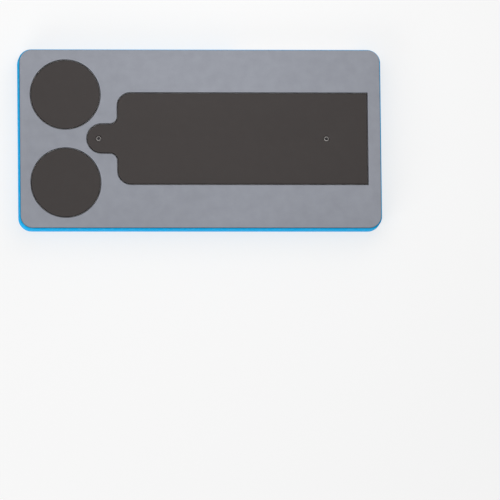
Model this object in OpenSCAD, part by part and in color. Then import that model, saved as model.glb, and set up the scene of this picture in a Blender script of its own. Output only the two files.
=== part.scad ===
// Steel-rule cutting die for three leather blanks: two end discs and a strap that wraps round them.
// A plywood board holds the bent steel rules in a moulded tray. Ejector foam covers the rules,
// gives way under the press and pushes the cut leather off them. Two sprung punches cut the
// strap's button holes. Lengths are in millimetres. The die lies on its back, face up, with the
// origin under its middle, X along its length and Z up.

/* [Leather pattern] */
// Diameter of each end disc
disc_d = 57.5; // [40:0.5:90]
// Free width between the two discs
disc_gap = 15.8; // [8:0.1:40]
// Diameter that the leather's thickness and the seam add where the strap wraps round a disc
wrap_allowance = 2.5; // [0.5:0.1:4]
// Width of the strap
strap_w = 76.2; // [64:0.2:110]
// Radius of the strap's two front corners
strap_corner_r = 11; // [4:0.5:18]
// Length of strap behind its end hole
under_flap = 34; // [20:0.5:60]
// Width of the strap's tab
tab_w = 24.4; // [18:0.2:32]
// Length of the tab, from the shoulder to its tip
tab_len = 25.3; // [22:0.1:45]
// Radius of the fillet at each side of the tab's root
tab_root_r = 6.3; // [2:0.1:7]
// Distance from the tab's tip to its hole
tab_hole_setback = 9.7; // [8:0.1:14]
// Diameter of the two button holes
hole_d = 2.8; // [2:0.1:4]
// Least free width between the tab and the discs
tab_web = 6.3; // [3:0.1:15]

/* [Margins round the pattern] */
// Foam beyond the discs, at their end of the die
disc_margin = 8.6; // [5:0.1:30]
// Foam beyond the strap's square end
strap_margin = 10.6; // [5:0.1:30]
// Foam beyond the pattern on each long side
side_margin = 8.5; // [5:0.1:30]

/* [Base tray] */
// Thickness of the tray's wall
tray_wall = 2.4; // [1.8:0.1:4]
// Thickness of the tray's floor
tray_floor = 3; // [2.6:0.1:5]
// Corner radius of the tray, seen from above
tray_corner_r = 11; // [6:0.5:18]
// Rounding of the rim's outer edge
rim_round = 1.2; // [0.3:0.1:1.5]
// Rounding of the edge under the tray
foot_round = 1.5; // [0.3:0.1:1.8]

/* [Label] */
// Length of the label
label_l = 101; // [30:1:150]
// Height of the label
label_h = 10.3; // [5:0.1:11]
// Thickness of the label
label_t = 0.15; // [0.1:0.05:0.3]
// Corner radius of the label
label_r = 1.2; // [0.3:0.1:2]
// Depth of the recess that the label lies in
recess_depth = 0.45; // [0.3:0.05:0.8]
// Free width round the label in its recess
label_fit = 0.4; // [0.2:0.1:1]
// Height of the label's lower edge
label_lift = 2; // [1.6:0.1:3]
// Distance from the label to the strap's end of the tray
label_end_gap = 19; // [14:0.5:60]

/* [Die board] */
// Thickness of the plywood
board_t = 12; // [12:0.5:20]
// Free width between the board and the tray's wall
board_fit = 0.3; // [0.1:0.05:0.6]

/* [Steel rules] */
// Thickness of the steel rule
rule_t = 0.7; // [0.5:0.1:1.1]
// Height of the rules above the board
rule_stand = 3.1; // [2.6:0.1:3.6]
// Height of the bevels that form the cutting edge
bevel_h = 0.8; // [0.4:0.1:1.5]
// Width of the flat left on the cutting edge
edge_flat = 0.06; // [0.04:0.02:0.12]
// Free width on each side of a rule in its kerf
kerf_fit = 0.05; // [0.02:0.01:0.1]
// Width of the board's bridges across the kerfs
bridge_w = 7; // [4:0.5:12]
// Free width between a bridge and the notch over it
bridge_fit = 0.4; // [0.2:0.1:0.8]
// Gap where the ends of a rule meet
rule_joint = 0.15; // [0.05:0.05:0.4]

/* [Ejector foam] */
// Thickness of the foam under the face sheet
foam_t = 3.2; // [2.8:0.1:5]
// Thickness of the face sheet
face_t = 0.8; // [0.5:0.1:1.2]
// Distance from the tray's outside to the foam's edge
foam_inset = 1.1; // [0.5:0.1:1.6]
// Free width between the foam and a rule or punch
foam_gap = 0.15; // [0.1:0.05:0.4]

/* [Hole punches] */
// Height of the punches' cutting rims above the rules
punch_lead = 0.5; // [0:0.1:0.6]
// Wall of a punch's nose
nose_wall = 0.9; // [0.4:0.05:1.1]
// Height of the bevel that sharpens a nose
nose_bevel_h = 0.6; // [0.4:0.1:1.5]
// Wall left at the cutting rim of a nose
nose_rim = 0.12; // [0.05:0.01:0.3]
// Wall of a punch's body round its spring
punch_wall = 1; // [0.7:0.1:1.5]
// Thickness of the step that holds the ejector in
punch_step = 1.5; // [1:0.1:2.5]
// Free width of a punch in its hole in the board
punch_fit = 0.05; // [0.02:0.01:0.1]
// Free width round an ejector in its bore
pin_fit = 0.05; // [0.02:0.01:0.1]
// Width of the ejector's flange beyond its stem
flange_lip = 0.8; // [0.6:0.1:1.2]
// Thickness of the ejector's flange
flange_t = 1.2; // [0.8:0.1:2]
// Height of the ejector's tip above the cutting rim
pin_stand = 0.2; // [0:0.05:0.6]
// Thickness of the plug under the spring
plug_t = 1.6; // [1:0.1:2.5]
// Wire diameter of the ejector's spring
wire_d = 0.4; // [0.3:0.05:0.5]
// Turns of the ejector's spring
spring_turns = 7; // [5:1:8]
// Free width between the spring and the punch's wall
spring_fit = 0.2; // [0.1:0.05:0.3]

/* [Screws] */
// Diameter of a screw's shank
screw_d = 3; // [2:0.1:4]
// Diameter of a screw's head
screw_head_d = 5.8; // [4:0.1:7]
// Length of a screw
screw_l = 11; // [8:0.5:14]
// Depth of a screw's head below the tray's back
screw_sink = 0.3; // [0.1:0.1:0.8]
// Free width round a screw
screw_fit = 0.1; // [0.05:0.05:0.3]
// Distance from the tray's edges to the screws
screw_inset = 12; // [9:0.5:20]

/* [Hidden] */
$fn = 96;

// Overshoot of a cut past the face that it opens
cut = 1;
// Lap of a straight cut into the round cuts beside it
lap = 0.2;

// Heights
board_top = tray_floor + board_t;
rule_h = board_t + rule_stand;
rule_top = tray_floor + rule_h;
nose_top = rule_top + punch_lead;
foam_top = board_top + foam_t;
face_top = foam_top + face_t;

// The strap wraps once round a disc, so its two holes lie one circumference apart
hole_pitch = PI * (disc_d + wrap_allowance);
strap_len = hole_pitch + under_flap - (tab_len - tab_hole_setback);

// The tab's round tip sits between the discs, as near to them as the web allows
disc_pitch = disc_d + disc_gap;
tip_reach = (disc_d + tab_w) / 2 + tab_web;
tip_beside_discs = sqrt(max(0, pow(tip_reach, 2) - pow(disc_pitch / 2, 2)));
tip_before_shoulder = (disc_d + tab_w) / 2 + tab_web - tab_len;
tip_ahead = max(tip_beside_discs, tip_before_shoulder);

// Plan sizes follow from the pattern and its margins
foam_l = disc_margin + disc_d / 2 + tip_ahead - tab_w / 2 + tab_len + strap_len + strap_margin;
foam_w = max(disc_pitch + disc_d, strap_w) + 2 * side_margin;
foam_r = tray_corner_r - foam_inset;
tray_l = foam_l + 2 * foam_inset;
tray_w = foam_w + 2 * foam_inset;
board_l = tray_l - 2 * (tray_wall + board_fit);
board_w = tray_w - 2 * (tray_wall + board_fit);
board_r = tray_corner_r - tray_wall - board_fit;

// Places along the die, from the discs' end
disc_x = -foam_l / 2 + disc_margin + disc_d / 2;
disc_y = disc_pitch / 2;
tip_x = disc_x + tip_ahead;
tab_end_x = tip_x - tab_w / 2;
shoulder_x = tab_end_x + tab_len;
strap_end_x = shoulder_x + strap_len;
tab_hole_x = tab_end_x + tab_hole_setback;
end_hole_x = tab_hole_x + hole_pitch;
label_x = tray_l / 2 - label_end_gap - label_l / 2;

// Punch sizes, from the hole outwards
nose_d = hole_d + 2 * nose_wall;
stem_d = hole_d - 2 * pin_fit;
flange_d = stem_d + 2 * flange_lip;
spring_bore_d = flange_d + 2 * pin_fit;
punch_d = spring_bore_d + 2 * punch_wall;
step_z = board_top - punch_step;
flange_z = step_z - flange_t;
plug_top = tray_floor + plug_t;

// Spring: its wire's centreline runs between the plug and the flange
coil_r = spring_bore_d / 2 - spring_fit - wire_d / 2;
coil_start = plug_top + wire_d / 2;
coil_rise = flange_z - plug_top - wire_d;
coil_pitch = coil_rise / spring_turns;
rings_per_turn = 12;
wire_sides = 6;

// Bridges: their share along each straight side, their places round a disc, and their heights
bridge_shares = [0.25, 0.75];
disc_bridge_angles = [30, 150, 270];
joint_angle = 180;
bridge_top = board_t + 2 * cut;
notch_top = board_t + bridge_fit;

screw_places = [
    for (x = [-1, 0, 1], y = [-1, 1]) [x * (tray_l / 2 - screw_inset), y * (tray_w / 2 - screw_inset)]
];

// Cross recess in a screw's head, which grows with the head
drive_w = screw_head_d / 7;
drive_l = screw_head_d * 0.6;
drive_depth = screw_head_d / 5;

// Colours
blue = [0.0, 0.68, 0.92];
grey = [0.59, 0.6, 0.64];
slate = [0.36, 0.4, 0.45];
charcoal = [0.28, 0.26, 0.26];
soot = [0.24, 0.23, 0.23];
steel = [0.75, 0.75, 0.75];
black_steel = [0.16, 0.15, 0.16];
plywood = [0.82, 0.68, 0.47];
paper = [0.87, 0.86, 0.88];

// Plain shapes

// Rectangle with round corners, centred
module rounded_plate(l, w, r) {
    square([l - 2 * r, w], center = true);
    square([l, w - 2 * r], center = true);
    for (x = [-1, 1], y = [-1, 1])
        translate([x * (l / 2 - r), y * (w / 2 - r)]) circle(r);
}

// Sweeps a section straight along X; the section's own X points to the left of the way it runs
module run(length) {
    rotate([90, 0, 90]) linear_extrude(length) children();
}

// Sweeps a section round the Z axis; the section's own X points away from the axis
module bend(r, from, to) {
    rotate(from) rotate_extrude(angle = to - from) translate([r, 0]) children();
}

// Sweeps a section round the outside of a rounded rectangle, its own X pointing outwards; the
// straight stretches lap into the bends, so that no thin fin stays between them
module rounded_loop(l, w, r) {
    for (half = [0, 180]) rotate(half) {
        translate([r - l / 2 - lap, w / 2]) run(l - 2 * r + 2 * lap) children();
        translate([l / 2 - r, w / 2 - r]) bend(r, 0, 90) children();
        translate([l / 2, w / 2 - r + lap]) rotate(-90) run(w - 2 * r + 2 * lap) children();
        translate([l / 2 - r, r - w / 2]) bend(r, -90, 0) children();
    }
}

// What a fillet of radius r takes off a corner that lies at the section's origin
module corner_waste(r) {
    difference() {
        translate([-r, -r]) square(r + cut);
        translate([-r, -r]) circle(r);
    }
}

// Outlines of the leather blanks, grown outwards by a width

module disc_outline(grow) {
    circle(disc_d / 2 + grow);
}

module strap_outline(grow) {
    half_w = strap_w / 2 + grow;
    half_tab = tab_w / 2 + grow;
    corner = strap_corner_r + grow;
    root = tab_root_r - grow;
    front = shoulder_x - grow;
    back = strap_end_x + grow;
    translate([front + corner, -half_w]) square([back - front - corner, 2 * half_w]);
    translate([front, corner - half_w]) square([corner, 2 * (half_w - corner)]);
    translate([tip_x, -half_tab]) square([front + corner - tip_x, 2 * half_tab]);
    translate([tip_x, 0]) circle(half_tab);
    for (y = [-1, 1]) {
        translate([front + corner, y * (half_w - corner)]) circle(corner);
        difference() {
            translate([front - root, min(y * half_tab, y * (half_tab + root))]) square(root);
            translate([front - root, y * (half_tab + root)]) circle(root);
        }
    }
}

// Sections of a rule and of the kerf that holds it, centred on the outline

module rule_section() {
    polygon([
        [-rule_t / 2, 0], [rule_t / 2, 0], [rule_t / 2, rule_h - bevel_h],
        [edge_flat / 2, rule_h], [-edge_flat / 2, rule_h], [-rule_t / 2, rule_h - bevel_h]
    ]);
}

module kerf_section() {
    translate([-rule_t / 2 - kerf_fit, -cut]) square([rule_t + 2 * kerf_fit, board_t + 2 * cut]);
}

// Ways that the rules follow

module disc_way() {
    rotate_extrude() translate([disc_d / 2, 0]) children();
}

// One long side, corner, shoulder, root fillet and half of the tab's tip, on each side of the X axis
module strap_way(end_x) {
    for (side = [0, 1]) mirror([0, side, 0]) {
        translate([shoulder_x + strap_corner_r, strap_w / 2])
            run(end_x - shoulder_x - strap_corner_r) children();
        translate([shoulder_x + strap_corner_r, strap_w / 2 - strap_corner_r])
            bend(strap_corner_r, 90, 180) children();
        translate([shoulder_x, tab_w / 2 + tab_root_r])
            rotate(90) run((strap_w - tab_w) / 2 - strap_corner_r - tab_root_r) children();
        translate([shoulder_x - tab_root_r, tab_w / 2 + tab_root_r])
            bend(tab_root_r, -90, 0) children();
        translate([tip_x, tab_w / 2]) run(tab_len - tab_w / 2 - tab_root_r) children();
        translate([tip_x, 0]) bend(tab_w / 2, 90, 180) children();
    }
}

// The straight rule across the square end; it reaches past the long sides
module end_way(reach) {
    translate([strap_end_x, -strap_w / 2 - reach]) rotate(90) run(strap_w + 2 * reach) children();
}

// Bridges across the kerfs. Those left in the board rise past the kerf cuts; the notches over them
// in the rules are wider by a fit and end just above the board.

module bridge_block(fit, top) {
    reach = 4 * rule_t;
    translate([-bridge_w / 2 - fit, -reach / 2, -2 * cut])
        cube([bridge_w + 2 * fit, reach, top + 2 * cut]);
}

module disc_bridges(fit, top) {
    for (a = disc_bridge_angles) rotate(a - 90) translate([0, disc_d / 2]) bridge_block(fit, top);
}

module strap_bridges(fit, top) {
    front = shoulder_x + strap_corner_r;
    for (y = [-1, 1], share = bridge_shares)
        translate([front + share * (strap_end_x - front), y * strap_w / 2]) bridge_block(fit, top);
}

module end_bridge(fit, top) {
    translate([strap_end_x, 0]) rotate(90) bridge_block(fit, top);
}

// Base

module screw_hole() {
    head_h = (screw_head_d - screw_d) / 2;
    translate([0, 0, -cut]) cylinder(d = screw_head_d + 2 * screw_fit, h = cut + screw_sink);
    translate([0, 0, screw_sink])
        cylinder(d1 = screw_head_d + 2 * screw_fit, d2 = screw_d + 2 * screw_fit, h = head_h);
    cylinder(d = screw_d + 2 * screw_fit, h = screw_sink + screw_l + screw_fit);
}

module base_tray() {
    color(blue) difference() {
        linear_extrude(board_top) rounded_plate(tray_l, tray_w, tray_corner_r);
        translate([0, 0, tray_floor]) linear_extrude(board_t + cut)
            rounded_plate(tray_l - 2 * tray_wall, tray_w - 2 * tray_wall, tray_corner_r - tray_wall);
        translate([0, 0, board_top]) rounded_loop(tray_l, tray_w, tray_corner_r) corner_waste(rim_round);
        rounded_loop(tray_l, tray_w, tray_corner_r) mirror([0, 1]) corner_waste(foot_round);
        translate([label_x, tray_w / 2 - recess_depth, label_lift + label_h / 2])
            rotate([90, 0, 180]) linear_extrude(recess_depth + cut)
                rounded_plate(label_l + 2 * label_fit, label_h + 2 * label_fit, label_r + label_fit);
        for (place = screw_places) translate(place) screw_hole();
    }
}

module edge_label() {
    color(paper) translate([label_x, tray_w / 2 - recess_depth, label_lift + label_h / 2])
        rotate([90, 0, 180]) linear_extrude(label_t) rounded_plate(label_l, label_h, label_r);
}

module die_board() {
    color(plywood) difference() {
        translate([0, 0, tray_floor]) linear_extrude(board_t) rounded_plate(board_l, board_w, board_r);
        for (y = [-1, 1]) translate([disc_x, y * disc_y, tray_floor]) difference() {
            disc_way() kerf_section();
            disc_bridges(0, bridge_top);
        }
        translate([0, 0, tray_floor]) difference() {
            union() {
                strap_way(strap_end_x) kerf_section();
                end_way(rule_t / 2 + kerf_fit) kerf_section();
            }
            strap_bridges(0, bridge_top);
            end_bridge(0, bridge_top);
        }
        for (x = [tab_hole_x, end_hole_x]) translate([x, 0, tray_floor - cut])
            cylinder(d = punch_d + 2 * punch_fit, h = board_t + 2 * cut);
        for (place = screw_places) translate(place) screw_hole();
    }
}

module base_screw() {
    head_h = (screw_head_d - screw_d) / 2;
    tip_h = screw_d / 2;
    difference() {
        union() {
            cylinder(d1 = screw_head_d, d2 = screw_d, h = head_h);
            cylinder(d = screw_d, h = screw_l - tip_h);
            translate([0, 0, screw_l - tip_h]) cylinder(d1 = screw_d, d2 = screw_d / 4, h = tip_h);
        }
        for (turn = [0, 90]) rotate(turn)
            translate([-drive_l / 2, -drive_w / 2, -cut]) cube([drive_l, drive_w, cut + drive_depth]);
    }
}

module base_screws() {
    color(steel) for (place = screw_places) translate([place.x, place.y, screw_sink]) base_screw();
}

// Rules

module disc_rule(side) {
    color(steel) translate([disc_x, side * disc_y, tray_floor]) difference() {
        disc_way() rule_section();
        disc_bridges(bridge_fit, notch_top);
        rotate(joint_angle) translate([disc_d / 2 - rule_t, -rule_joint / 2, -cut])
            cube([2 * rule_t, rule_joint, rule_h + 2 * cut]);
    }
}

module strap_rule() {
    color(steel) translate([0, 0, tray_floor]) difference() {
        strap_way(strap_end_x - rule_t / 2 - rule_joint) rule_section();
        strap_bridges(bridge_fit, notch_top);
    }
}

module strap_end_rule() {
    color(steel) translate([0, 0, tray_floor]) difference() {
        end_way(rule_t / 2) rule_section();
        end_bridge(bridge_fit, notch_top);
    }
}

// Ejector pads: the foam and the face sheet on it share one outline

module surround_outline() {
    difference() {
        rounded_plate(foam_l, foam_w, foam_r);
        for (y = [-1, 1]) translate([disc_x, y * disc_y]) disc_outline(rule_t / 2 + foam_gap);
        strap_outline(rule_t / 2 + foam_gap);
    }
}

module disc_pad_outline(side) {
    translate([disc_x, side * disc_y]) disc_outline(-rule_t / 2 - foam_gap);
}

module strap_pad_outline() {
    difference() {
        strap_outline(-rule_t / 2 - foam_gap);
        for (x = [tab_hole_x, end_hole_x]) translate([x, 0]) circle(nose_d / 2 + foam_gap);
    }
}

module foam_layer(tint) {
    color(tint) translate([0, 0, board_top]) linear_extrude(foam_t) children();
}

module face_layer(tint) {
    color(tint) translate([0, 0, foam_top]) linear_extrude(face_t) children();
}

// Hole punches

module punch_tube(x) {
    color(steel) translate([x, 0]) rotate_extrude() polygon([
        [spring_bore_d / 2, tray_floor], [punch_d / 2, tray_floor], [punch_d / 2, board_top],
        [nose_d / 2, board_top], [nose_d / 2, nose_top - nose_bevel_h], [hole_d / 2 + nose_rim, nose_top],
        [hole_d / 2, nose_top], [hole_d / 2, step_z], [spring_bore_d / 2, step_z]
    ]);
}

module punch_ejector(x) {
    color(black_steel) translate([x, 0, flange_z]) {
        cylinder(d = flange_d, h = flange_t);
        cylinder(d = stem_d, h = nose_top + pin_stand - flange_z);
    }
}

module punch_plug(x) {
    color(steel) translate([x, 0, tray_floor]) cylinder(d = spring_bore_d - 2 * pin_fit, h = plug_t);
}

// Point on the spring's centreline, a number of turns from its lower end
function coil_point(turn) =
    [coil_r * cos(360 * turn), coil_r * sin(360 * turn), coil_start + coil_pitch * turn];

// Points of one ring of the spring's wire, square to the helix
function wire_ring(turn) = let (
    a = 360 * turn,
    slope = atan(coil_pitch / (2 * PI * coil_r)),
    outward = [cos(a), sin(a), 0],
    upward = [sin(a) * sin(slope), -cos(a) * sin(slope), cos(slope)]
) [for (s = [0:wire_sides - 1]) let (b = 360 * s / wire_sides)
    coil_point(turn) + wire_d / 2 * (cos(b) * outward + sin(b) * upward)];

// Least gap between points of the wire that lie more than half a turn apart
function least_coil_gap() = min([
    for (i = [0:rings_per_turn], j = [i + rings_per_turn / 2:2 * rings_per_turn])
        norm(coil_point(j / rings_per_turn) - coil_point(i / rings_per_turn))
]) - wire_d;

module punch_spring(x) {
    rings = spring_turns * rings_per_turn;
    points = [for (i = [0:rings]) each wire_ring(i / rings_per_turn)];
    sides = [for (i = [0:rings - 1], s = [0:wire_sides - 1]) let (
        near = i * wire_sides + s,
        next = i * wire_sides + (s + 1) % wire_sides
    ) each [[near, near + wire_sides, next], [next, near + wire_sides, next + wire_sides]]];
    first = [[for (s = [0:wire_sides - 1]) s]];
    last = [[for (s = [0:wire_sides - 1]) (rings + 1) * wire_sides - 1 - s]];
    color(steel) translate([x, 0]) polyhedron(points, concat(sides, first, last));
}

echo(tray_l = tray_l, tray_w = tray_w, height = face_top, spring_gap = least_coil_gap());

base_tray();
die_board();
base_screws();
edge_label();
disc_rule(1);  // upper_disc_rule
disc_rule(-1);  // lower_disc_rule
strap_rule();
strap_end_rule();
foam_layer(slate) surround_outline();  // surround_foam
foam_layer(soot) disc_pad_outline(1);  // upper_disc_foam
foam_layer(soot) disc_pad_outline(-1);  // lower_disc_foam
foam_layer(soot) strap_pad_outline();  // strap_foam
face_layer(grey) surround_outline();  // surround_face
face_layer(charcoal) disc_pad_outline(1);  // upper_disc_face
face_layer(charcoal) disc_pad_outline(-1);  // lower_disc_face
face_layer(charcoal) strap_pad_outline();  // strap_face
punch_tube(tab_hole_x);  // tab_punch_tube
punch_ejector(tab_hole_x);  // tab_punch_ejector
punch_spring(tab_hole_x);  // tab_punch_spring
punch_plug(tab_hole_x);  // tab_punch_plug
punch_tube(end_hole_x);  // end_punch_tube
punch_ejector(end_hole_x);  // end_punch_ejector
punch_spring(end_hole_x);  // end_punch_spring
punch_plug(end_hole_x);  // end_punch_plug
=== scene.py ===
"""Looks of a leather cutting die: foam pads, ejector springs, finishes, stage and camera.

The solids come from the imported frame. The soft pieces and the springs are modelled here, in the
place that their solids hold. The rigid pieces keep their solids and get a finish. Lengths are in
metres.
"""

import math

import bmesh
import bpy
from bpy.props import FloatProperty, FloatVectorProperty, IntProperty, PointerProperty
from mathutils import Euler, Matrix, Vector


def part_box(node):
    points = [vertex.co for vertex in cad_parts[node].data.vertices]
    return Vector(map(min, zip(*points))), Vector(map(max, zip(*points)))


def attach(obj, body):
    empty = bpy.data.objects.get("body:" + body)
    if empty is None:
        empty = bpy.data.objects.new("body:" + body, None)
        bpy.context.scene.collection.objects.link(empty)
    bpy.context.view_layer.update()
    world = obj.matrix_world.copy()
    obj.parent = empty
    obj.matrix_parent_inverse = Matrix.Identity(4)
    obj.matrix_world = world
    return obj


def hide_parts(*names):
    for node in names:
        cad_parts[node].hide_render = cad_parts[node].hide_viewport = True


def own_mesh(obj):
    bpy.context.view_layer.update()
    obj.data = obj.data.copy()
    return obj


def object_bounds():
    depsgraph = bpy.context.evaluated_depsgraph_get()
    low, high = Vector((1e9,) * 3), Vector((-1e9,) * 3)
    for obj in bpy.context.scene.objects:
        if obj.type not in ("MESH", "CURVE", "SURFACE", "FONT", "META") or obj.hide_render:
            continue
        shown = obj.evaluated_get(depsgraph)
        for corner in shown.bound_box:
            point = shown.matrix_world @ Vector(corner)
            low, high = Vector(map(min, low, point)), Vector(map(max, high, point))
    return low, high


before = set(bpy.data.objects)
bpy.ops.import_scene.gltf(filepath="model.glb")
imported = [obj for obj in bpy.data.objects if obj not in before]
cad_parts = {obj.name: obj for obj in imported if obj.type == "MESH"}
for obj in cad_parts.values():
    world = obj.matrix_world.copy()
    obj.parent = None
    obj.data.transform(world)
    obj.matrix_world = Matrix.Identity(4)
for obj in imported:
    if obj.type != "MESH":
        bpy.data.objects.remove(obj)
CAD_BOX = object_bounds()

bl_info = {
    "name": "Cutting Die",
    "version": (1, 0, 0),
    "blender": (4, 5, 0),
    "location": "View3D > Sidebar > Cutting Die",
    "description": "Models the foam and springs of a leather cutting die and finishes its surfaces",
    "category": "Object",
}

MM = 0.001
# Points closer than this are the same point
TOUCH = 0.01 * MM
# A face is level where its normal rises or falls by at least this much
LEVEL = 0.99
# Faces that meet at more than this angle keep a sharp edge between them
SHARP_ANGLE = math.radians(35)
# Cutters reach this far past the solid that they cut, above and below
CUT_PAST = 1 * MM
# Straight pieces of a quarter round, of a disc and of the hole round a punch
CORNER_SEGMENTS = 16
DISC_SEGMENTS = 160
PUNCH_SEGMENTS = 48
# Steps in which a face sheet's edge rolls over: each goes inwards and up by a share of the roll
ROLL_STEPS = ((0.14, 0.4), (0.26, 0.3), (0.5, 0.2), (1.0, 0.1))
# A face sheet has its skin where its normal rises by at least this much
SKIN_RISE = 0.5

DISCS = ("upper_disc", "lower_disc")
PUNCHES = ("tab", "end")

# The cutting lines, from the rules' own boxes
END_RULE_LOW, END_RULE_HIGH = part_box("strap_end_rule")
RULE_THICKNESS = END_RULE_HIGH.x - END_RULE_LOW.x
PAD_GAP = END_RULE_LOW.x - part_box("strap_foam")[1].x
PAD_INSET = RULE_THICKNESS / 2 + PAD_GAP
TAB_TIP_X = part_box("strap_rule")[0].x + RULE_THICKNESS / 2
STRAP_END_X = (END_RULE_LOW.x + END_RULE_HIGH.x) / 2
STRAP_HALF_WIDTH = END_RULE_HIGH.y - RULE_THICKNESS / 2


def srgb(red, green, blue):
    """A screen colour, each channel from 0 to 255, as the linear values that shaders take."""
    shares = [channel / 255 for channel in (red, green, blue)]
    return tuple(s / 12.92 if s <= 0.04045 else ((s + 0.055) / 1.055) ** 2.4 for s in shares)


class FoamSettings(bpy.types.PropertyGroup):
    """Sizes of the ejector foam and of the pattern that it fills"""

    tab_width: FloatProperty(
        name="Tab Width",
        description="Width of the strap's tab between its cutting edges",
        default=24.4 * MM,
        unit="LENGTH",
    )
    tab_length: FloatProperty(
        name="Tab Length",
        description="Length of the tab from the strap's shoulder to its tip",
        default=25.3 * MM,
        unit="LENGTH",
    )
    tab_root_radius: FloatProperty(
        name="Tab Root Radius",
        description="Radius of the fillet at each side of the tab's root",
        default=6.3 * MM,
        unit="LENGTH",
    )
    strap_corner_radius: FloatProperty(
        name="Strap Corner Radius",
        description="Radius of the strap's two front corners",
        default=11.0 * MM,
        unit="LENGTH",
    )
    surround_corner_radius: FloatProperty(
        name="Surround Corner Radius",
        description="Radius of the corners of the foam round the pattern",
        default=9.9 * MM,
        unit="LENGTH",
    )
    punch_hole_radius: FloatProperty(
        name="Punch Hole Radius",
        description="Radius of the hole in the strap's pad round each punch",
        default=2.45 * MM,
        unit="LENGTH",
    )
    foot_tuck: FloatProperty(
        name="Foot Tuck",
        description="Width by which the foam's foot is drawn in where it is glued down",
        default=0.35 * MM,
        unit="LENGTH",
    )
    foot_height: FloatProperty(
        name="Foot Height",
        description="Height of the drawn-in foot",
        default=0.3 * MM,
        unit="LENGTH",
    )
    waist: FloatProperty(
        name="Waist",
        description="Depth of the hollow that the knife leaves half way up the cut edge",
        default=0.12 * MM,
        unit="LENGTH",
    )
    roll: FloatProperty(
        name="Edge Roll",
        description="Height over which the face sheet rounds off at its edges",
        default=0.3 * MM,
        unit="LENGTH",
    )


class SpringSettings(bpy.types.PropertyGroup):
    """Sizes of the ejector springs"""

    wire_diameter: FloatProperty(
        name="Wire Diameter",
        description="Diameter of the spring's wire",
        default=0.4 * MM,
        unit="LENGTH",
    )
    turns: IntProperty(
        name="Turns",
        description="Turns of each spring",
        default=7,
        min=3,
    )


class ColourSettings(bpy.types.PropertyGroup):
    """Colours of the finishes"""

    tray_blue: FloatVectorProperty(
        name="Tray Blue",
        description="Colour of the moulded tray",
        default=srgb(0, 176, 239),
        subtype="COLOR",
    )
    tray_worn: FloatVectorProperty(
        name="Worn Tray Blue",
        description="Colour of the scuffed plastic on the tray's edges",
        default=srgb(90, 198, 245),
        subtype="COLOR",
    )
    face_grey: FloatVectorProperty(
        name="Face Grey",
        description="Colour of the face sheet round the pattern",
        default=srgb(152, 155, 164),
        subtype="COLOR",
    )
    face_dark: FloatVectorProperty(
        name="Face Dark",
        description="Colour of the face sheets inside the cutting lines",
        default=srgb(71, 67, 66),
        subtype="COLOR",
    )
    cut_grey: FloatVectorProperty(
        name="Cut Edge Grey",
        description="Colour of the cut edge of the foam round the pattern",
        default=srgb(90, 99, 112),
        subtype="COLOR",
    )
    cut_dark: FloatVectorProperty(
        name="Cut Edge Dark",
        description="Colour of the cut edge of the foam inside the cutting lines",
        default=srgb(58, 55, 55),
        subtype="COLOR",
    )
    label: FloatVectorProperty(
        name="Label",
        description="Colour of the bare label",
        default=srgb(222, 219, 226),
        subtype="COLOR",
    )
    plywood: FloatVectorProperty(
        name="Plywood",
        description="Colour of the die board's face veneer",
        default=srgb(214, 181, 134),
        subtype="COLOR",
    )
    rule_steel: FloatVectorProperty(
        name="Rule Steel",
        description="Colour of the cutting rules",
        default=srgb(188, 187, 188),
        subtype="COLOR",
    )
    punch_steel: FloatVectorProperty(
        name="Punch Steel",
        description="Colour of the hole punches",
        default=srgb(178, 174, 172),
        subtype="COLOR",
    )
    spring_steel: FloatVectorProperty(
        name="Spring Steel",
        description="Colour of the ejector springs",
        default=srgb(190, 192, 196),
        subtype="COLOR",
    )


class StageSettings(bpy.types.PropertyGroup):
    """Floor, light and camera"""

    floor: FloatVectorProperty(
        name="Floor",
        description="Colour of the floor",
        default=(0.94, 0.94, 0.94),
        subtype="COLOR",
    )
    floor_lift: FloatProperty(
        name="Floor Lift",
        description="Share of plain white in the floor as the camera sees it",
        default=0.7,
        min=0.0,
        max=1.0,
        subtype="FACTOR",
    )
    sky_level: FloatProperty(
        name="Sky Level",
        description="Light that comes evenly from all round",
        default=0.4,
    )
    key_power: FloatProperty(
        name="Key Power",
        description="Power of the soft lamp over the die",
        default=0.62,
        unit="POWER",
    )
    front_power: FloatProperty(
        name="Front Power",
        description="Power of the low lamp in front of the side without a label",
        default=12.5,
        unit="POWER",
    )
    back_power: FloatProperty(
        name="Back Power",
        description="Power of the low lamp behind the labelled side",
        default=4.0,
        unit="POWER",
    )
    under_power: FloatProperty(
        name="Under Power",
        description="Power of the lamp under the floor, which lights only the die's back",
        default=5.0,
        unit="POWER",
    )
    distance: FloatProperty(
        name="Camera Distance",
        description="Distance from the camera to the point that it looks at",
        default=9.0,
        unit="LENGTH",
    )
    lens: FloatProperty(
        name="Lens",
        description="Focal length of the camera",
        default=786.8,
        unit="CAMERA",
    )
    aim: FloatVectorProperty(
        name="Aim",
        description="Point under the middle of the picture",
        default=(39.87 * MM, -92.7 * MM, 19.0 * MM),
        subtype="XYZ",
        unit="LENGTH",
    )
    tilt: FloatProperty(
        name="Tilt",
        description="Angle from straight above towards the long side without a label",
        default=math.radians(7.8),
        subtype="ANGLE",
    )
    swing: FloatProperty(
        name="Swing",
        description="Angle from straight above towards the strap's square end",
        default=math.radians(-4.8),
        subtype="ANGLE",
    )
    roll: FloatProperty(
        name="Roll",
        description="Turn of the camera about its own line of sight",
        default=math.radians(-0.64),
        subtype="ANGLE",
    )


class CuttingDieSettings(bpy.types.PropertyGroup):
    """All settings of the cutting die"""

    foam: PointerProperty(type=FoamSettings)
    springs: PointerProperty(type=SpringSettings)
    colours: PointerProperty(type=ColourSettings)
    stage: PointerProperty(type=StageSettings)


# Modelling steps, as by hand


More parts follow.
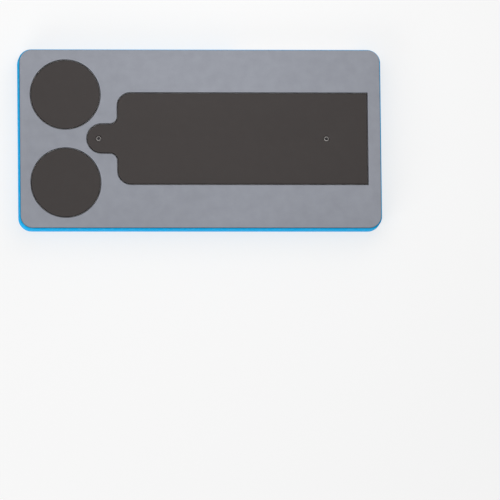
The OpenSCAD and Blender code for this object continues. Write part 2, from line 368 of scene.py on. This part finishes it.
def start_clean():
    """Leaves edit mode and deselects all objects, so that the next operator acts on its own piece."""
    if bpy.context.mode != "OBJECT":
        bpy.ops.object.mode_set(mode="OBJECT")
    bpy.ops.object.select_all(action="DESELECT")


def work_on(piece):
    """Makes a piece the only one that operators act on."""
    start_clean()
    piece.select_set(True)
    bpy.context.view_layer.objects.active = piece


def edit(piece):
    """Opens a piece in edit mode with all of it selected."""
    work_on(piece)
    bpy.ops.object.mode_set(mode="EDIT")
    bpy.ops.mesh.select_all(action="SELECT")


def pick(kind, test):
    """In edit mode, selects only the vertices, edges or faces that pass a test."""
    bpy.ops.mesh.select_mode(type=kind)
    bpy.ops.mesh.select_all(action="DESELECT")
    mesh = bmesh.from_edit_mesh(bpy.context.object.data)
    parts = {"VERT": mesh.verts, "EDGE": mesh.edges, "FACE": mesh.faces}[kind]
    for part in filter(test, parts):
        part.select_set(True)
    mesh.select_flush_mode()
    bmesh.update_edit_mesh(bpy.context.object.data)


def named(name):
    """Names the piece that was just added and puts its place into its mesh."""
    piece = bpy.context.object
    piece.name = name
    piece.data.name = name
    bpy.ops.object.transform_apply(location=True, rotation=True, scale=True)
    return piece


def rectangle(name, low, high, z):
    """A flat rectangle between two corners."""
    start_clean()
    centre = ((low[0] + high[0]) / 2, (low[1] + high[1]) / 2, z)
    bpy.ops.mesh.primitive_plane_add(size=1, location=centre)
    bpy.context.object.scale = (high[0] - low[0], high[1] - low[1], 1)
    return named(name)


def disc(name, centre, radius, z, segments=DISC_SEGMENTS):
    """A flat disc."""
    start_clean()
    bpy.ops.mesh.primitive_circle_add(
        vertices=segments, radius=radius, fill_type="NGON", location=(centre[0], centre[1], z)
    )
    return named(name)


def round_corners(corners, radius):
    """In edit mode, rounds the outline's corners at these places."""
    pick("VERT", lambda v: any((v.co.xy - Vector(corner)).length < TOUCH for corner in corners))
    bpy.ops.mesh.bevel(offset=radius, segments=CORNER_SEGMENTS, affect="VERTICES")


def rounded_rectangle(name, low, high, z, radius):
    """A flat rectangle with round corners, left open in edit mode."""
    piece = rectangle(name, low, high, z)
    edit(piece)
    round_corners([(x, y) for x in (low.x, high.x) for y in (low.y, high.y)], radius)
    return piece


def surround_outline(name, z, settings):
    """The flat outline of the foam round the pattern."""
    return rounded_rectangle(name, *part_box("surround_foam"), z, settings.surround_corner_radius)


def strap_outline(name, z, settings, grow):
    """The flat outline of the strap with its tab, grown outwards from the cutting line."""
    half_width = STRAP_HALF_WIDTH + grow
    half_tab = settings.tab_width / 2 + grow
    front = TAB_TIP_X + settings.tab_length - grow
    tip = front - settings.tab_length

    def on_tab_root(edge):
        return all(v.co.x < front + TOUCH and abs(v.co.y) < half_tab + TOUCH for v in edge.verts)

    piece = rectangle(name, (front, -half_width), (STRAP_END_X + grow, half_width), z)
    edit(piece)
    for side in (-half_tab, half_tab):
        bpy.ops.mesh.select_all(action="SELECT")
        bpy.ops.mesh.bisect(plane_co=(0, side, z), plane_no=(0, 1, 0))
    # The tab is drawn out of the middle of the front edge
    pick("EDGE", on_tab_root)
    bpy.ops.mesh.extrude_region_move(TRANSFORM_OT_translate={"value": (-settings.tab_length, 0, 0)})
    bpy.ops.mesh.select_all(action="SELECT")
    bpy.ops.mesh.dissolve_limited()
    round_corners([(front, half_width), (front, -half_width)], settings.strap_corner_radius + grow)
    round_corners([(front, half_tab), (front, -half_tab)], settings.tab_root_radius - grow)
    round_corners([(tip, half_tab), (tip, -half_tab)], half_tab)
    bpy.ops.mesh.select_all(action="SELECT")
    bpy.ops.mesh.remove_doubles(threshold=TOUCH)
    return piece


def disc_outline(name, z, prefix, grow):
    """The flat outline of one end disc, grown outwards from the cutting line."""
    low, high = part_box(prefix + "_rule")
    centre = (low + high) / 2
    return disc(name, centre, (high.x - low.x - RULE_THICKNESS) / 2 + grow, z)


def thicken(piece, height):
    """Draws a flat outline up into a closed solid."""
    edit(piece)
    bpy.ops.mesh.extrude_region_move(TRANSFORM_OT_translate={"value": (0, 0, height)})
    bpy.ops.mesh.select_all(action="SELECT")
    bpy.ops.mesh.normals_make_consistent(inside=False)
    start_clean()


def cut_out(piece, cutters):
    """Cuts other solids out of a piece, and removes them."""
    work_on(piece)
    for cutter in cutters:
        bpy.ops.object.modifier_add(type="BOOLEAN")
        cut = piece.modifiers[-1]
        cut.operation = "DIFFERENCE"
        cut.solver = "EXACT"
        cut.object = cutter
        bpy.ops.object.modifier_apply(modifier=cut.name)
        bpy.data.objects.remove(cutter)


def solid_between(outline, holes, low_z, high_z):
    """A solid of one outline, with others cut through it. Each outline is a function of a height."""
    piece = outline(low_z)
    thicken(piece, high_z - low_z)
    cutters = []
    for hole in holes:
        cutters.append(hole(low_z - CUT_PAST))
        thicken(cutters[-1], high_z - low_z + 2 * CUT_PAST)
    cut_out(piece, cutters)
    return piece


def level_faces(z):
    """A test for the level faces at one height."""
    return lambda f: abs(f.normal.z) > LEVEL and abs(f.calc_center_median().z - z) < TOUCH


def round_over(z, steps):
    """In edit mode, insets the level faces at a height in steps, each further out along their normal."""
    pick("FACE", level_faces(z))
    for inwards, outwards in steps:
        bpy.ops.mesh.inset(thickness=inwards, depth=outwards)


def smooth(piece):
    """Shades a piece smooth, apart from its sharp edges."""
    work_on(piece)
    bpy.ops.object.shade_smooth_by_angle(angle=SHARP_ANGLE)


def foam_pad(prefix, outline, holes, settings):
    """The foam under a face sheet: its foot is drawn in and its cut edge is a little hollow."""
    low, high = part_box(prefix + "_foam")
    foot = low.z + settings.foot_height
    waist = (foot + high.z) / 2
    piece = solid_between(lambda z: outline(prefix + "_foam_pad", z), holes, foot, high.z)
    edit(piece)
    round_over(foot, [(settings.foot_tuck, settings.foot_height)])
    bpy.ops.mesh.select_all(action="SELECT")
    bpy.ops.mesh.bisect(plane_co=(0, 0, waist), plane_no=(0, 0, 1))
    pick("VERT", lambda v: abs(v.co.z - waist) < TOUCH)
    bpy.ops.transform.shrink_fatten(value=-settings.waist)
    smooth(piece)
    return piece


def face_sheet(prefix, outline, holes, settings):
    """The sheet on a pad, with its edges rolled over."""
    low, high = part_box(prefix + "_face")
    shoulder = high.z - settings.roll
    piece = solid_between(lambda z: outline(prefix + "_face_sheet", z), holes, low.z, shoulder)
    edit(piece)
    round_over(shoulder, [(inwards * settings.roll, up * settings.roll) for inwards, up in ROLL_STEPS])
    smooth(piece)
    return piece


def finish_sheet(piece, skin, cut):
    """Gives a face sheet its skin on top and the cut foam's finish on its edges."""
    piece.data.materials.append(skin)
    piece.data.materials.append(cut)
    edit(piece)
    pick("FACE", lambda f: f.normal.z < SKIN_RISE)
    piece.active_material_index = 1
    bpy.ops.object.material_slot_assign()
    start_clean()


def flatten_with(piece):
    """Gives a piece its own copy of its mesh."""
    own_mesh(piece)


def pad_and_sheet(prefix, outline, holes, settings, finishes):
    """One ejector pad: foam that stays on the die's base and the face sheet that rides with the pad's
    body.
    """
    foam_finish, skin_finish, foam_slot, skin_slot = finishes
    pad = foam_pad(prefix, outline, holes, settings)
    pad.data.materials.append(foam_finish)
    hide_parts(prefix + "_foam")
    flatten_with(pad)
    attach(pad, "die_base")
    sheet = face_sheet(prefix, outline, holes, settings)
    finish_sheet(sheet, skin_finish, foam_finish)
    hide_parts(prefix + "_face")
    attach(sheet, prefix + "_pad")


# Finishes


WHITE = (1.0, 1.0, 1.0, 1.0)


def shade(colour, level=1.0):
    """A colour made lighter or darker, with full opacity."""
    return tuple(min(1.0, channel * level) for channel in colour) + (1.0,)


class Finish:
    """A procedural material in the making. Its patterns follow the object's own coordinates."""

    # Sockets of a Mix node that mixes colours
    COLOUR_A = 6
    COLOUR_B = 7
    COLOUR_RESULT = 2
    # Plain noise seldom leaves this range
    NOISE_RANGE = (0.3, 0.7)

    def __init__(self, name, values):
        self.material = bpy.data.materials.new(name)
        self.material.use_nodes = True
        self.tree = self.material.node_tree
        self.shader = self.tree.nodes["Principled BSDF"]
        self.place = self.node("ShaderNodeTexCoord").outputs["Object"]
        for socket, value in values.items():
            self.set(socket, value)

    def feed(self, socket, value):
        """Links an output to a socket, or writes a plain value on it."""
        if isinstance(value, bpy.types.NodeSocket):
            self.tree.links.new(value, socket)
        else:
            socket.default_value = value

    def set(self, socket, value):
        """Sets one of the shader's own sockets."""
        self.feed(self.shader.inputs[socket], value)

    def node(self, kind, inputs=None, **options):
        """Adds a node with its options and inputs."""
        made = self.tree.nodes.new(kind)
        for option, value in options.items():
            setattr(made, option, value)
        for socket, value in (inputs or {}).items():
            self.feed(made.inputs[socket], value)
        return made

    def height(self):
        """Height above the die's back."""
        return self.node("ShaderNodeSeparateXYZ", {"Vector": self.place}).outputs["Z"]

    def stretched(self, stretch):
        """The place, stretched along the axes where the numbers are small."""
        mapping = self.node("ShaderNodeMapping", {"Vector": self.place, "Scale": stretch})
        return mapping.outputs["Vector"]

    def noise(self, size, detail=2.0, stretch=(1, 1, 1)):
        """Soft noise with features of about one size, from 0 to 1."""
        inputs = {"Vector": self.stretched(stretch), "Scale": 1 / size, "Detail": detail}
        return self.ramp(self.node("ShaderNodeTexNoise", inputs).outputs["Fac"], self.NOISE_RANGE)

    def cells(self, size):
        """Distance from the middle of the nearest of many small cells, 0 in each middle."""
        voronoi = self.node("ShaderNodeTexVoronoi", {"Vector": self.place, "Scale": 1 / size})
        return voronoi.outputs["Distance"]

    def ramp(self, value, source=(0.0, 1.0), target=(0.0, 1.0)):
        """A value brought from one range to another, and held at its ends."""
        inputs = {"Value": value}
        inputs["From Min"], inputs["From Max"] = source
        inputs["To Min"], inputs["To Max"] = target
        return self.node("ShaderNodeMapRange", inputs).outputs["Result"]

    def math(self, operation, first, second):
        """Two values joined by a math operation."""
        return self.node("ShaderNodeMath", {0: first, 1: second}, operation=operation).outputs["Value"]

    def mix(self, share, first, second):
        """A colour between two."""
        made = self.node("ShaderNodeMix", {"Factor": share}, data_type="RGBA")
        self.feed(made.inputs[self.COLOUR_A], first)
        self.feed(made.inputs[self.COLOUR_B], second)
        return made.outputs[self.COLOUR_RESULT]

    def relief(self, height, depth, strength=1.0):
        """Raises the surface by a pattern, over any relief that it already has."""
        normal = self.shader.inputs["Normal"]
        made = self.node("ShaderNodeBump", {"Height": height, "Distance": depth, "Strength": strength})
        if normal.is_linked:
            self.feed(made.inputs["Normal"], normal.links[0].from_socket)
        self.feed(normal, made.outputs["Normal"])


def foam_skin(name, colour, cloudiness):
    """The closed skin of a foam sheet: cloudy, matt and finely pitted, with painted shade in its pits.
    """
    finish = Finish(name, {"Specular IOR Level": 0.06})
    clouds = finish.noise(45 * MM, detail=4.0, stretch=(0.4, 1, 1))
    mottle = finish.noise(9 * MM, detail=5.0)
    grain = finish.noise(0.5 * MM, detail=3.0)
    pits = finish.cells(1.1 * MM)
    tone = finish.ramp(finish.math("ADD", clouds, mottle), (0.0, 2.0))
    base = finish.mix(tone, shade(colour, 1 - cloudiness), shade(colour, 1 + cloudiness))
    # Each pit is painted darker towards its middle, where its relief sinks: painted shade in the pit
    pit_shade = finish.ramp(pits, (0.0, 0.18), (0.6, 0.0))
    finish.set("Base Color", finish.mix(pit_shade, base, shade(colour, 0.72)))
    finish.set("Roughness", finish.ramp(grain, target=(0.62, 0.8)))
    finish.relief(grain, 0.04 * MM, strength=0.6)
    finish.relief(finish.ramp(pits, (0.0, 0.25)), 0.05 * MM, strength=0.5)
    return finish.material


def cut_foam(name, colour):
    """A knife-cut foam edge with open cells, whose hollows are painted darker as painted shade."""
    finish = Finish(name, {"Roughness": 0.9, "Specular IOR Level": 0.2})
    cells = finish.cells(0.4 * MM)
    drag = finish.noise(2.5 * MM, detail=3.0, stretch=(1, 1, 4))
    base = finish.mix(drag, shade(colour, 0.88), shade(colour, 1.1))
    # Each open cell is painted darker towards its middle, where its relief sinks: painted shade in its
    # hollow
    cell_shade = finish.ramp(cells, (0.0, 0.45), (0.55, 0.0))
    finish.set("Base Color", finish.mix(cell_shade, base, shade(colour, 0.45)))
    finish.relief(finish.ramp(cells, (0.0, 0.6)), 0.12 * MM, strength=0.7)
    return finish.material


def grey_finishes(colours):
    """Finishes and slots of the pad round the pattern."""
    cut = cut_foam("grey_cut_foam", colours.cut_grey)
    skin = foam_skin("grey_foam_skin", colours.face_grey, cloudiness=0.08)
    return cut, skin, "grey_foam", "grey_face"


def dark_finishes(colours):
    """Finishes and slots of the pads inside the cutting lines, made once."""
    made = bpy.data.materials
    cut = made.get("dark_cut_foam") or cut_foam("dark_cut_foam", colours.cut_dark)
    skin = made.get("dark_foam_skin") or foam_skin("dark_foam_skin", colours.face_dark, cloudiness=0.03)
    return cut, skin, "dark_foam", "dark_face"


def moulded_plastic(colour, worn_colour, foot_z, rim_z):
    """Blue moulded plastic with a fine spark texture whose dips are painted darker as shade, a few
    rubbed places and worn edges.
    """
    finish = Finish("blue_moulded_plastic", {"Specular IOR Level": 0.04})
    flow = finish.noise(60 * MM, detail=2.0)
    spark = finish.noise(0.4 * MM, detail=2.0)
    rub = finish.ramp(finish.noise(6 * MM, detail=6.0, stretch=(1, 1, 0.2)), (0.78, 1.0), (0.0, 0.35))
    base = finish.mix(flow, shade(colour, 0.97), shade(colour, 1.03))
    # The dips of the spark texture, where its relief sinks, are painted darker: painted shade
    spark_shaded = finish.mix(finish.ramp(spark, target=(0.14, 0.0)), base, shade(colour, 0.6))
    rubbed = finish.mix(rub, spark_shaded, shade(colour, 1.25))
    worn = edge_wear(finish, foot_z, rim_z)
    finish.set("Base Color", finish.mix(worn, rubbed, shade(worn_colour)))
    finish.set("Roughness", finish.ramp(spark, target=(0.65, 0.5)))
    finish.relief(spark, 0.05 * MM, strength=0.6)
    return finish.material


def edge_wear(finish, foot_z, rim_z):
    """How far the tray's rim and the round edge of its foot are rubbed lighter, in patches."""
    height = finish.height()
    rim = finish.ramp(height, (rim_z - 1.5 * MM, rim_z - 0.2 * MM), (0.0, 0.3))
    above_back = finish.ramp(height, (foot_z + 0.02 * MM, foot_z + 0.3 * MM), (0.0, 0.5))
    below_wall = finish.ramp(height, (foot_z, foot_z + 1.2 * MM), (0.5, 0.0))
    foot = finish.math("MINIMUM", above_back, below_wall)
    patches = finish.ramp(finish.noise(3 * MM, detail=8.0), (0.4, 0.8))
    return finish.math("MULTIPLY", finish.math("MAXIMUM", rim, foot), patches)


def label_film(colour):
    """Satin label film over paper: faint fibres and a slightly uneven tone."""
    finish = Finish("label_film", {"Specular IOR Level": 0.45})
    tone = finish.noise(14 * MM, detail=3.0)
    fibre = finish.noise(0.5 * MM, detail=4.0, stretch=(0.3, 1, 1))
    base = finish.mix(tone, shade(colour, 0.96), shade(colour, 1.02))
    strand = finish.ramp(fibre, (0.6, 1.0), (0.0, 0.3))
    finish.set("Base Color", finish.mix(strand, base, shade(colour, 0.9)))
    finish.set("Roughness", finish.ramp(fibre, target=(0.38, 0.5)))
    finish.relief(fibre, 0.01 * MM, strength=0.4)
    return finish.material


def zinc_plate():
    """Bright zinc plating with a faint cloudy bloom."""
    bloomed = shade(srgb(196, 198, 196))
    bright = shade(srgb(226, 226, 219))
    finish = Finish("zinc_plate", {"Metallic": 1.0})
    bloom = finish.noise(1.6 * MM, detail=4.0)
    finish.set("Base Color", finish.mix(bloom, bloomed, bright))
    finish.set("Roughness", finish.ramp(bloom, target=(0.22, 0.4)))
    finish.relief(finish.noise(0.2 * MM), 0.01 * MM, strength=0.4)
    return finish.material


def birch_plywood(colour):
    """Birch plywood: grain along the board and a dark glue line between its veneers."""
    veneer = 1.5 * MM
    glue_line = 0.15 * MM
    finish = Finish("birch_plywood", {"Specular IOR Level": 0.3})
    grain = finish.noise(1.8 * MM, detail=6.0, stretch=(0.06, 1, 1))
    above_glue = finish.math("MODULO", finish.height(), veneer)
    glue = finish.ramp(above_glue, (0.0, glue_line), (0.7, 0.0))
    base = finish.mix(grain, shade(colour, 0.78), shade(colour, 1.05))
    finish.set("Base Color", finish.mix(glue, base, shade(colour, 0.35)))
    finish.set("Roughness", finish.ramp(grain, target=(0.75, 0.6)))
    finish.relief(grain, 0.05 * MM, strength=0.5)
    return finish.material


def steel(name, colour, roughness, lines, depth):
    """Bare steel, drawn or ground so that fine lines run level round it."""
    finish = Finish(name, {"Metallic": 1.0})
    drawn = finish.noise(lines, detail=3.0, stretch=(0.02, 0.02, 1))
    stain = finish.noise(9 * MM, detail=4.0)
    finish.set("Base Color", finish.mix(stain, shade(colour, 0.86), shade(colour)))
    finish.set("Roughness", finish.ramp(drawn, target=(roughness - 0.07, roughness + 0.1)))
    finish.relief(drawn, depth, strength=0.5)
    return finish.material


def black_oxide():
    """Blackened steel, worn a little in spots."""
    black = shade(srgb(40, 39, 40))
    bared = shade(srgb(110, 109, 110))
    most_wear = 0.6
    finish = Finish("black_oxide_steel", {"Metallic": 1.0})
    wear = finish.ramp(finish.noise(0.8 * MM, detail=5.0), (0.7, 1.0), (0.0, most_wear))
    finish.set("Base Color", finish.mix(wear, black, bared))
    finish.set("Roughness", finish.ramp(wear, (0.0, most_wear), (0.5, 0.3)))
    finish.relief(finish.noise(0.15 * MM), 0.008 * MM, strength=0.4)
    return finish.material


def seen_ray(tree):
    """1 for rays that the camera, a reflection or a clear surface sees, and 0 for light."""
    rays = tree.nodes.new("ShaderNodeLightPath")
    total = rays.outputs["Is Camera Ray"]
    for name in ("Is Glossy Ray", "Is Transmission Ray"):
        add = tree.nodes.new("ShaderNodeMath")
        add.operation = "ADD"
        add.use_clamp = True
        tree.links.new(total, add.inputs[0])
        tree.links.new(rays.outputs[name], add.inputs[1])
        total = add.outputs[0]
    return total


def mixed_shader(tree, share, first, second):
    """A mix of two shaders, with a share of the second."""
    mixed = tree.nodes.new("ShaderNodeMixShader")
    for socket, output in zip(mixed.inputs, (share, first, second)):
        tree.links.new(output, socket)
    return mixed.outputs[0]


def pale_floor(colour, lift):
    """A pale floor that the camera and reflections see nearly white, with the object's shadow on it."""
    material = bpy.data.materials.new("pale_floor")
    material.use_nodes = True
    tree = material.node_tree
    tree.nodes.clear()
    whiteness = tree.nodes.new("ShaderNodeMath")
    whiteness.operation = "MULTIPLY"
    whiteness.inputs[1].default_value = lift
    tree.links.new(seen_ray(tree), whiteness.inputs[0])
    matt = tree.nodes.new("ShaderNodeBsdfDiffuse")
    matt.inputs["Color"].default_value = shade(colour)
    white = tree.nodes.new("ShaderNodeEmission")
    white.inputs["Color"].default_value = WHITE
    top = mixed_shader(tree, whiteness.outputs[0], matt.outputs[0], white.outputs[0])
    # From below the floor is clear, so that the die's back can be looked at
    from_below = tree.nodes.new("ShaderNodeNewGeometry").outputs["Backfacing"]
    clear = tree.nodes.new("ShaderNodeBsdfTransparent")
    output = tree.nodes.new("ShaderNodeOutputMaterial")
    tree.links.new(mixed_shader(tree, from_below, top, clear.outputs[0]), output.inputs["Surface"])
    return material


def dress(material, *nodes):
    """Gives CAD nodes a finish."""
    for node in nodes:
        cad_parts[node].material_slots[0].material = material


# Operators


class CUTTING_DIE_OT_stage(bpy.types.Operator):
    """Lay the floor, hang the lamps and place the camera"""

    bl_idname = "cutting_die.stage"
    bl_label = "Stage"

    # The floor's opening is this much smaller than the die all round
    FLOOR_INSET = 3 * MM
    FLOOR_CORNER_RADIUS = 9 * MM
    # The floor lies this much below the die, so that their faces don't coincide
    FLOOR_DROP = 0.05 * MM
    # Size of the floor as a multiple of its opening
    FLOOR_SPREAD = 100
    # Name, place and width of each lamp, and the setting that holds its power
    LAMPS = (
        ("key_lamp", (0.0, 0.16, 0.35), 0.35, "key_power"),
        ("front_lamp", (-0.9, -1.1, 0.55), 1.0, "front_power"),
        ("back_lamp", (0.7, 1.2, 0.6), 1.0, "back_power"),
        ("under_lamp", (0.0, 0.0, -1.0), 1.0, "under_power"),
    )
    # The camera sees things up to this distance
    CAMERA_REACH = 100

    def execute(self, context):
        stage = context.scene.cutting_die.stage
        self.floor(stage)
        for name, place, width, power in self.LAMPS:
            self.lamp(name, Vector(place), width, getattr(stage, power))
        self.sky(context.scene, stage)
        self.camera(context.scene, stage)
        context.scene.view_settings.view_transform = "Standard"
        return {"FINISHED"}

    def floor(self, stage):
        """Lays a wide floor that is open under the middle of the die, where the die covers it."""
        low, high = CAD_BOX
        inset = Vector((self.FLOOR_INSET, self.FLOOR_INSET, 0))
        floor = rounded_rectangle(
            "floor", low + inset, high - inset, -self.FLOOR_DROP, self.FLOOR_CORNER_RADIUS
        )
        bpy.ops.mesh.select_all(action="SELECT")
        bpy.ops.mesh.delete(type="ONLY_FACE")
        bpy.ops.mesh.select_all(action="SELECT")
        bpy.ops.mesh.extrude_edges_move()
        bpy.ops.transform.resize(value=(self.FLOOR_SPREAD, self.FLOOR_SPREAD, 1))
        start_clean()
        floor.data.materials.append(pale_floor(stage.floor, stage.floor_lift))

    def lamp(self, name, place, width, power):
        """Hangs a square soft lamp that faces the die."""
        start_clean()
        bpy.ops.object.light_add(type="AREA", location=place)
        lamp = bpy.context.object
        lamp.name = name
        lamp.rotation_euler = (-place).to_track_quat("-Z", "Y").to_euler()
        lamp.data.size = width
        lamp.data.energy = power
        lamp.visible_camera = False
        # Reflections don't show a lamp that hangs below the floor
        lamp.visible_glossy = place.z > 0

    def sky(self, scene, stage):
        """Even light from all round; the camera and reflections see it white."""
        scene.world = bpy.data.worlds.new("studio")
        scene.world.use_nodes = True
        tree = scene.world.node_tree
        tree.nodes.clear()
        light = tree.nodes.new("ShaderNodeBackground")
        light.inputs["Strength"].default_value = stage.sky_level
        white = tree.nodes.new("ShaderNodeBackground")
        for background in (light, white):
            background.inputs["Color"].default_value = WHITE
        sky = mixed_shader(tree, seen_ray(tree), light.outputs[0], white.outputs[0])
        output = tree.nodes.new("ShaderNodeOutputWorld")
        tree.links.new(sky, output.inputs["Surface"])

    def camera(self, scene, stage):
        """Places the camera almost straight above the die, which lies in the picture's upper left."""
        start_clean()
        turn = Euler((stage.tilt, stage.swing, stage.roll), "ZXY").to_matrix()
        place = Vector(stage.aim) + turn @ Vector((0, 0, stage.distance))
        bpy.ops.object.camera_add(location=place, rotation=turn.to_euler())
        camera = bpy.context.object
        camera.name = "photo_camera"
        camera.data.lens = stage.lens
        camera.data.clip_end = self.CAMERA_REACH
        scene.camera = camera


class CUTTING_DIE_OT_tray_and_label(bpy.types.Operator):
    """Finish the moulded tray, its label, its screws and the plugs of the punches"""

    bl_idname = "cutting_die.tray_and_label"
    bl_label = "Tray and Label"

    def execute(self, context):
        colours = context.scene.cutting_die.colours
        low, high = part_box("base_tray")
        dress(moulded_plastic(colours.tray_blue, colours.tray_worn, low.z, high.z), "base_tray")
        dress(label_film(colours.label), "edge_label")
        dress(zinc_plate(), "base_screws", "tab_punch_plug", "end_punch_plug")
        return {"FINISHED"}


class CUTTING_DIE_OT_board_and_steel(bpy.types.Operator):
    """Finish the plywood board, the cutting rules, the punches and their ejectors"""

    bl_idname = "cutting_die.board_and_steel"
    bl_label = "Board and Steel"

    # How rough ground steel is, and the spacing and depth of the lines on it
    GROUND = {"roughness": 0.5, "lines": 0.08 * MM, "depth": 0.006 * MM}

    def execute(self, context):
        colours = context.scene.cutting_die.colours
        dress(birch_plywood(colours.plywood), "die_board")
        rule = steel("tempered_rule_steel", colours.rule_steel, **self.GROUND)
        dress(rule, "upper_disc_rule", "lower_disc_rule", "strap_rule", "strap_end_rule")
        punch = steel("punch_steel", colours.punch_steel, **self.GROUND)
        dress(punch, "tab_punch_tube", "end_punch_tube")
        dress(black_oxide(), "tab_punch_ejector", "end_punch_ejector")
        return {"FINISHED"}


class CUTTING_DIE_OT_surround_pad(bpy.types.Operator):
    """Model the ejector foam round the pattern and its face sheet"""

    bl_idname = "cutting_die.surround_pad"
    bl_label = "Surround Pad"

    def execute(self, context):
        settings = context.scene.cutting_die
        foam = settings.foam

        def outline(name, z):
            return surround_outline(name, z, foam)

        holes = [lambda z: strap_outline("strap_cutter", z, foam, PAD_INSET)]
        for prefix in DISCS:
            holes.append(lambda z, prefix=prefix: disc_outline(prefix + "_cutter", z, prefix, PAD_INSET))
        pad_and_sheet("surround", outline, holes, foam, grey_finishes(settings.colours))
        return {"FINISHED"}


class CUTTING_DIE_OT_disc_pads(bpy.types.Operator):
    """Model the ejector foam and the face sheet inside each disc"""

    bl_idname = "cutting_die.disc_pads"
    bl_label = "Disc Pads"

    def execute(self, context):
        settings = context.scene.cutting_die
        for prefix in DISCS:
            def outline(name, z, prefix=prefix):
                return disc_outline(name, z, prefix, -PAD_INSET)

            pad_and_sheet(prefix, outline, [], settings.foam, dark_finishes(settings.colours))
        return {"FINISHED"}


class CUTTING_DIE_OT_strap_pad(bpy.types.Operator):
    """Model the ejector foam and the face sheet inside the strap, with a hole round each punch"""

    bl_idname = "cutting_die.strap_pad"
    bl_label = "Strap Pad"

    def execute(self, context):
        settings = context.scene.cutting_die
        foam = settings.foam

        def outline(name, z):
            return strap_outline(name, z, foam, -PAD_INSET)

        holes = []
        for punch in PUNCHES:
            low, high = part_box(punch + "_punch_tube")

            def hole(z, centre=(low + high) / 2):
                return disc("punch_cutter", centre, foam.punch_hole_radius, z, PUNCH_SEGMENTS)

            holes.append(hole)
        pad_and_sheet("strap", outline, holes, foam, dark_finishes(settings.colours))
        return {"FINISHED"}


class CUTTING_DIE_OT_ejector_springs(bpy.types.Operator):
    """Wind the spring under each ejector"""

    bl_idname = "cutting_die.ejector_springs"
    bl_label = "Ejector Springs"

    # Straight pieces round the wire and along each turn
    WIRE_SEGMENTS = 12
    TURN_STEPS = 32
    # How rough drawn wire is, and the spacing and depth of the lines on it
    DRAWN = {"roughness": 0.25, "lines": 0.05 * MM, "depth": 0.004 * MM}

    def execute(self, context):
        settings = context.scene.cutting_die
        wire_steel = steel("spring_steel", settings.colours.spring_steel, **self.DRAWN)
        for punch in PUNCHES:
            node = punch + "_punch_spring"
            coil = self.coil(punch + "_punch_coil", node, settings.springs)
            coil.data.materials.append(wire_steel)
            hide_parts(node)
            flatten_with(coil)
            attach(coil, "die_base")
        return {"FINISHED"}

    def coil(self, name, node, springs):
        """A round wire section, wound up round the punch's axis and closed at both ends."""
        low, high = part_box(node)
        axis = (low + high) / 2
        wire_radius = springs.wire_diameter / 2
        coil_radius = (high.x - low.x) / 2 - wire_radius
        start_clean()
        bpy.ops.mesh.primitive_circle_add(
            vertices=self.WIRE_SEGMENTS, radius=wire_radius, rotation=(math.pi / 2, 0, 0)
        )
        coil = named(name)
        edit(coil)
        bpy.ops.transform.translate(value=(coil_radius, 0, low.z + wire_radius))
        work_on(coil)
        bpy.ops.object.modifier_add(type="SCREW")
        winding = coil.modifiers[-1]
        winding.axis = "Z"
        winding.angle = 2 * math.pi
        winding.iterations = springs.turns
        winding.screw_offset = (high.z - low.z - springs.wire_diameter) / springs.turns
        winding.steps = self.TURN_STEPS
        winding.render_steps = self.TURN_STEPS
        bpy.ops.object.modifier_apply(modifier=winding.name)
        coil.location = (axis.x, axis.y, 0)
        bpy.ops.object.transform_apply(location=True, rotation=False, scale=False)
        edit(coil)
        bpy.ops.mesh.remove_doubles(threshold=TOUCH)
        bpy.ops.mesh.fill_holes(sides=0)
        bpy.ops.mesh.normals_make_consistent(inside=False)
        smooth(coil)
        return coil


OPERATORS = (
    CUTTING_DIE_OT_stage,
    CUTTING_DIE_OT_tray_and_label,
    CUTTING_DIE_OT_board_and_steel,
    CUTTING_DIE_OT_surround_pad,
    CUTTING_DIE_OT_disc_pads,
    CUTTING_DIE_OT_strap_pad,
    CUTTING_DIE_OT_ejector_springs,
)


class VIEW3D_PT_cutting_die(bpy.types.Panel):
    """Lists the steps that build the cutting die's looks"""

    bl_label = "Cutting Die"
    bl_space_type = "VIEW_3D"
    bl_region_type = "UI"
    bl_category = "Cutting Die"

    def draw(self, context):
        for operator in OPERATORS:
            self.layout.operator(operator.bl_idname)


CLASSES = (
    FoamSettings,
    SpringSettings,
    ColourSettings,
    StageSettings,
    CuttingDieSettings,
    *OPERATORS,
    VIEW3D_PT_cutting_die,
)


def register():
    """Registers the classes and puts the settings on the scene."""
    for cls in CLASSES:
        bpy.utils.register_class(cls)
    bpy.types.Scene.cutting_die = PointerProperty(type=CuttingDieSettings)


def unregister():
    """Undoes register()."""
    del bpy.types.Scene.cutting_die
    for cls in reversed(CLASSES):
        bpy.utils.unregister_class(cls)


def main():
    """Runs the steps in order."""
    register()
    bpy.ops.cutting_die.stage()
    bpy.ops.cutting_die.tray_and_label()
    bpy.ops.cutting_die.board_and_steel()
    bpy.ops.cutting_die.surround_pad()
    bpy.ops.cutting_die.disc_pads()
    bpy.ops.cutting_die.strap_pad()
    bpy.ops.cutting_die.ejector_springs()


if __name__ == "__main__":
    main()
